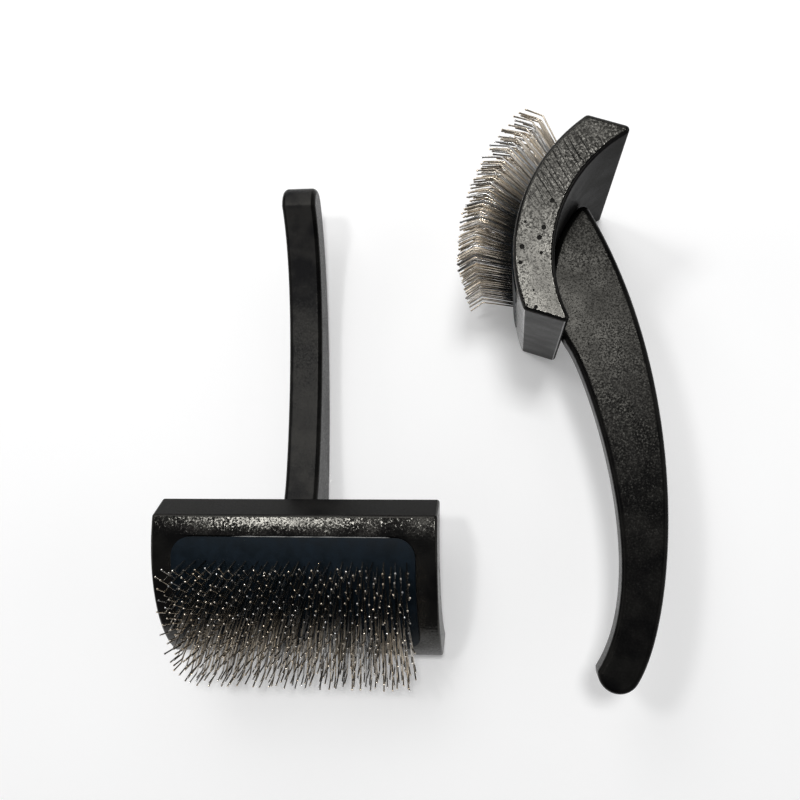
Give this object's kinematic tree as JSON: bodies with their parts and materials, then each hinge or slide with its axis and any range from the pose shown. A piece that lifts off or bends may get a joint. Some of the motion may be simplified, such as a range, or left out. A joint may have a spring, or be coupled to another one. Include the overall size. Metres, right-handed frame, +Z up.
{
  "type": "hand carders",
  "caption": "Pair of black wooden hand carders with curved heads, bowed handles and staggered rows of bent wire teeth on a padded face, one on its back, one on its side.",
  "frame": {"origin": "middle of the pair's outline, on the table it lies on", "axes": "+Z up off the table, +Y the way the left carder's handle points, +X from the left carder to the right one"},
  "size_m": [0.1996, 0.2098, 0.115],
  "materials": {
    "black_lacquered_wood": "satin black lacquer over open grain",
    "screw_steel": "plain",
    "felt": "matte",
    "card_clothing_rubber": "matte rubber with bright steel teeth"
  },
  "bodies": {
    "left_carder": {"left_head_block": "black_lacquered_wood", "left_handle": "black_lacquered_wood", "left_middle_screw": "screw_steel", "left_neck_screw": "screw_steel", "left_felt_underlay": "felt", "left_card_clothing": "card_clothing_rubber"},
    "right_carder": {"right_head_block": "black_lacquered_wood", "right_handle": "black_lacquered_wood", "right_middle_screw": "screw_steel", "right_neck_screw": "screw_steel", "right_felt_underlay": "felt", "right_card_clothing": "card_clothing_rubber"}
  },
  "joints": [
    {"name": "right_carder_lift", "type": "slide", "parent": "left_carder", "child": "right_carder", "axis": [0, 0, 1], "range_m": [0, 0.15]}
  ]
}
